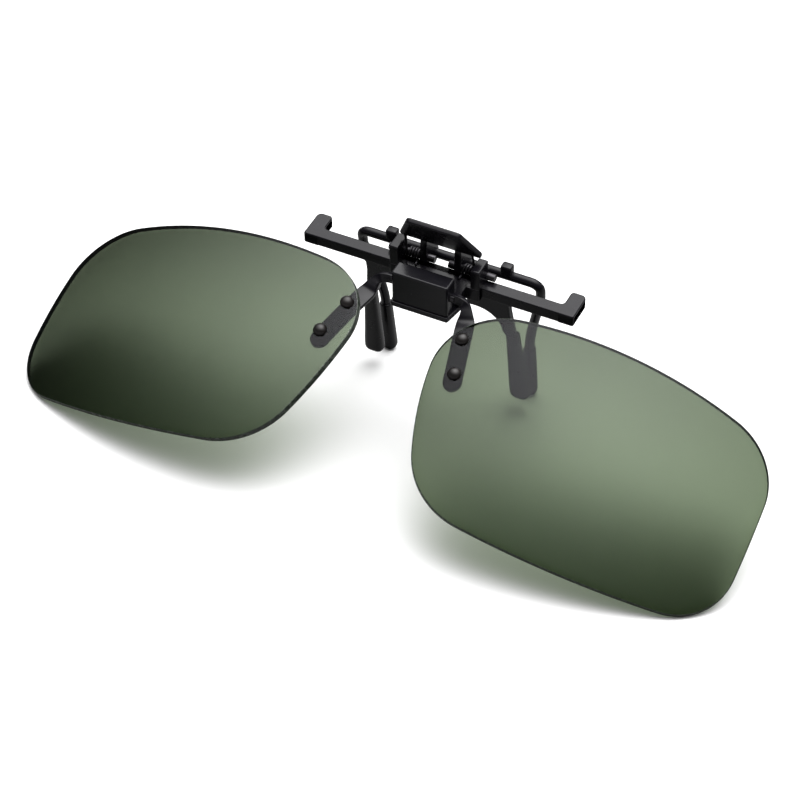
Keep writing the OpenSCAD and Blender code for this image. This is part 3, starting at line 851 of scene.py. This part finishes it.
def hull(points):
    """Convex outline round 2D points, anticlockwise."""
    pts = sorted(set(points))
    halves = []
    for run in (pts, pts[::-1]):
        h = []
        for p in run:
            while len(h) > 1 and ((h[-1][0] - h[-2][0]) * (p[1] - h[-2][1])
                                  - (h[-1][1] - h[-2][1]) * (p[0] - h[-2][0])) <= 0:
                h.pop()
            h.append(p)
        halves.append(h[:-1])
    return halves[0] + halves[1]


def make_thumb_lever():
    lever = Solids()
    f, t = PLATE_FOOT_W / 2, PLATE_TOP_W / 2
    plan = fillet([(-f, 0, 0.3), (f, 0, 0.3), (f, PLATE_SIDE, 0.6), (t, PLATE_L, 1.0),
                   (-t, PLATE_L, 1.0), (-f, PLATE_SIDE, 0.6)], 5)
    plate = shift(0, *PLATE_FOOT) @ Matrix.Rotation(math.pi / 2 + PLATE_LEAN, 4, "X")
    lever.add(prism_rings(plan, -PLATE_T / 2, PLATE_T / 2, 0.3, across, 4), plate)
    ends = (arc(JAW_AXIS, KNUCKLE_R, 0, 2 * math.pi, 28)
            + arc(ROD_AT, ROD_R + 0.5, 0, 2 * math.pi, 28)
            + [(PLATE_FOOT[0] + 1.0, PLATE_FOOT[1] + 0.3),
               (PLATE_FOOT[0] - 0.45, PLATE_FOOT[1] + 0.3)])
    lever.both(prism_rings(hull(ends), CHEEK_IN, CHEEK_IN + CHEEK_W, 0.2, upright))
    obj = lever.piece("thumb_lever_pressed", CLIP)
    return finish_piece(obj, "rear_jaw", "black_metal", black_metal, "thumb_lever")


make_thumb_lever()


# ---------------------------------------------------------------- sleeves

def capped_loft(name, spine, place, side, cap_r):
    """A sleeve: sections (centre, u, v, width, depth, corner), with a domed lower end."""
    rings = []
    c, u, v, w, h, r = spine[0]
    rings.append(section(c, u, v, w * 0.80, h * 0.80, r * 0.8, 6))
    for c, u, v, w, h, r in spine:
        rings.append(section(c, u, v, w, h, r, 6))
    run = (Vector(spine[-1][0]) - Vector(spine[-2][0])).normalized()
    c, u, v, w, h, r = spine[-1]
    for i in range(1, 11):
        a = math.pi / 2 * i / 10
        k = max(math.cos(a) ** 0.85, 0.04)
        rings.append(section(Vector(c) + run * cap_r * math.sin(a), u, v, w * k, h * k, r * k, 6))
    obj = loft(name, rings, place, side)
    split_sharp_edges(obj, 50)
    return obj


def make_front_sleeve(side_name, side):
    u, v = Vector((1, 0, 0)), Vector((0, 1, 0))
    # height, middle, width, depth, corner
    rows = [(-13.75, 13.55, 2.0, 1.7, 0.5), (-14.0, 13.57, 2.2, 1.84, 0.55),
            (-16.0, 13.62, 2.36, 1.9, 0.62), (-19.0, 13.72, 2.62, 1.98, 0.7),
            (-22.0, 13.84, 2.92, 2.1, 0.8), (-25.0, 13.96, 3.26, 2.24, 0.92),
            (-27.5, 14.08, 3.56, 2.34, 1.02), (-29.2, 14.14, 3.66, 2.36, 1.08)]
    fine = catmull(rows, 3)
    spine = [((x, 0, z), u, v, w, d, r) for z, x, w, d, r in fine]
    obj = capped_loft(f"front_sleeve_{side_name}_moulded", spine, LEG, side, 1.45)
    return finish_piece(obj, "clip", "sleeve_rubber", sleeve_rubber,
                        f"front_sleeve_{side_name}")


def make_rear_sleeve(side_name, side):
    top, tip = Vector(ROD_LEG[-2]), Vector((13.8, 8.7, -32.8))
    run = (tip - top).normalized()
    u = Vector((0, 1, 0)).cross(run).normalized()
    v = run.cross(u).normalized()
    if u.x < 0:
        u, v = -u, -v
    length = (tip - top).length
    rows = [(-0.15, 1.95, 1.9, 0.8), (0.05, 2.1, 2.08, 0.85), (0.8, 2.2, 2.16, 0.9),
            (length * 0.5, 2.42, 2.28, 0.95), (length * 0.85, 2.62, 2.38, 1.0),
            (length, 2.68, 2.4, 1.0)]
    fine = catmull(rows, 3)
    spine = [(top + run * d, u, v, w, h, r) for d, w, h, r in fine]
    obj = capped_loft(f"rear_sleeve_{side_name}_moulded", spine, CLIP, side, 1.18)
    return finish_piece(obj, "rear_jaw", "sleeve_rubber", sleeve_rubber,
                        f"rear_sleeve_{side_name}")


for side_name, side in SIDES:
    make_front_sleeve(side_name, side)
    make_rear_sleeve(side_name, side)


# ---------------------------------------------------------------- carried-over CAD nodes

def dress(node, material, edge_mm=0.0):
    obj = frame["nodes"][node]
    obj.data.materials.clear()
    obj.data.materials.append(material)
    if edge_mm:
        bevel(obj, edge_mm)
    return obj


dress("pivot_pin_left", dark_steel, 0.12)
dress("pivot_pin_right", dark_steel, 0.12)
dress("bridge_shaft", dark_steel, 0.06)
dress("detent_spring", dark_steel)
dress("rivet_collars", dark_steel, 0.05)
for side_name, _ in SIDES:
    spring = dress(f"spring_{side_name}", dark_steel)
    weld(spring)
    s = spring.modifiers.new("round", "SUBSURF")
    s.levels = s.render_levels = 1


# ---------------------------------------------------------------- stage, light, camera

# How much light the floor gives back: seen by the camera, bounced onto the pieces, and the
# extra that shows in their gloss. Set by trial renders: a real sheet gives all three back alike.
FLOOR_SEEN, FLOOR_BOUNCED, FLOOR_MIRRORED = 0.95, 0.14, 0.12
# The glow overhead and a little to the back: where, how narrow, how strong. The first two come
# from a least-squares fit to the lenses' brightness, the strength from trial renders.
GLOW_FROM, GLOW_NARROW, GLOW_STRENGTH = (0.0, 0.208, 0.978), 5.0, 7.8
SURROUND, WORLD_GREY = 0.10, 0.8


def make_floor():
    mesh = bpy.data.meshes.new("floor")
    size = 3.0
    mesh.from_pydata([(-size, -size, 0), (size, -size, 0), (size, size, 0), (-size, size, 0)],
                     [], [(0, 1, 2, 3)])
    obj = bpy.data.objects.new("floor", mesh)
    bpy.context.scene.collection.objects.link(obj)
    m, nt, out = new_material("paper_white")
    p = nt.nodes.new("ShaderNodeBsdfPrincipled")
    path = nt.nodes.new("ShaderNodeLightPath")
    seen = remap(nt, path.outputs["Is Camera Ray"], 0, 1, FLOOR_BOUNCED, FLOOR_SEEN)
    mirrored = remap(nt, path.outputs["Is Glossy Ray"], 0, 1, 0.0, FLOOR_MIRRORED)
    shade = add(nt, "ShaderNodeMath", operation="ADD")
    nt.links.new(seen, shade.inputs[0])
    nt.links.new(mirrored, shade.inputs[1])
    nt.links.new(shade.outputs[0], p.inputs["Base Color"])
    p.inputs["Roughness"].default_value = 0.9
    p.inputs["Specular IOR Level"].default_value = 0.1
    nt.links.new(p.outputs[0], out.inputs["Surface"])
    obj.data.materials.append(m)


def make_world():
    """Soft studio light: an even surround and one wide glow."""
    world = bpy.data.worlds.new("studio")
    bpy.context.scene.world = world
    world.use_nodes = True
    nt = world.node_tree
    nt.nodes.clear()
    out = nt.nodes.new("ShaderNodeOutputWorld")
    c = nt.nodes.new("ShaderNodeTexCoord")
    dot = add(nt, "ShaderNodeVectorMath", operation="DOT_PRODUCT")
    dot.inputs[1].default_value = Vector(GLOW_FROM).normalized()
    nt.links.new(c.outputs["Generated"], dot.inputs[0])
    up = add(nt, "ShaderNodeMath", operation="MAXIMUM")
    up.inputs[1].default_value = 0.0
    nt.links.new(dot.outputs["Value"], up.inputs[0])
    glow = add(nt, "ShaderNodeMath", operation="POWER")
    glow.inputs[1].default_value = GLOW_NARROW
    nt.links.new(up.outputs[0], glow.inputs[0])
    level = add(nt, "ShaderNodeMath", operation="MULTIPLY_ADD")
    level.inputs[1].default_value = GLOW_STRENGTH
    level.inputs[2].default_value = SURROUND
    nt.links.new(glow.outputs[0], level.inputs[0])
    path = nt.nodes.new("ShaderNodeLightPath")
    pick = nt.nodes.new("ShaderNodeMix")
    nt.links.new(path.outputs["Is Camera Ray"], pick.inputs[0])
    nt.links.new(level.outputs[0], pick.inputs[2])
    # the camera sees the surround as plain white
    pick.inputs[3].default_value = 1.0 / WORLD_GREY
    bg = nt.nodes.new("ShaderNodeBackground")
    bg.inputs["Color"].default_value = (WORLD_GREY, WORLD_GREY, WORLD_GREY, 1.0)
    nt.links.new(pick.outputs[0], bg.inputs["Strength"])
    nt.links.new(bg.outputs[0], out.inputs["Surface"])


VIEW_AZIMUTH = math.radians(23.005)
VIEW_ELEVATION = math.radians(34.341)
VIEW_ROLL = math.radians(5.05)
VIEW_DISTANCE = 0.4719
VIEW_AIM = Vector((0.00360, -0.00793, 0.01481))
LENS_MM, SENSOR_MM = 127.85, 36.0


def make_camera():
    data = bpy.data.cameras.new("camera")
    data.lens, data.sensor_width = LENS_MM, SENSOR_MM
    data.clip_start, data.clip_end = 0.01, 20
    cam = bpy.data.objects.new("camera", data)
    bpy.context.scene.collection.objects.link(cam)
    a, e = VIEW_AZIMUTH, VIEW_ELEVATION
    back = Vector((math.sin(a) * math.cos(e), -math.cos(a) * math.cos(e), math.sin(e)))
    level = Vector((math.cos(a), math.sin(a), 0))
    rise = level.cross(-back)
    right = level * math.cos(VIEW_ROLL) + rise * math.sin(VIEW_ROLL)
    up = right.cross(-back)
    turn = Matrix((right, up, back)).transposed()
    cam.matrix_world = Matrix.Translation(VIEW_AIM + back * VIEW_DISTANCE) @ turn.to_4x4()
    bpy.context.scene.camera = cam


make_floor()
make_world()
make_camera()
bpy.context.scene.view_settings.view_transform = "Standard"
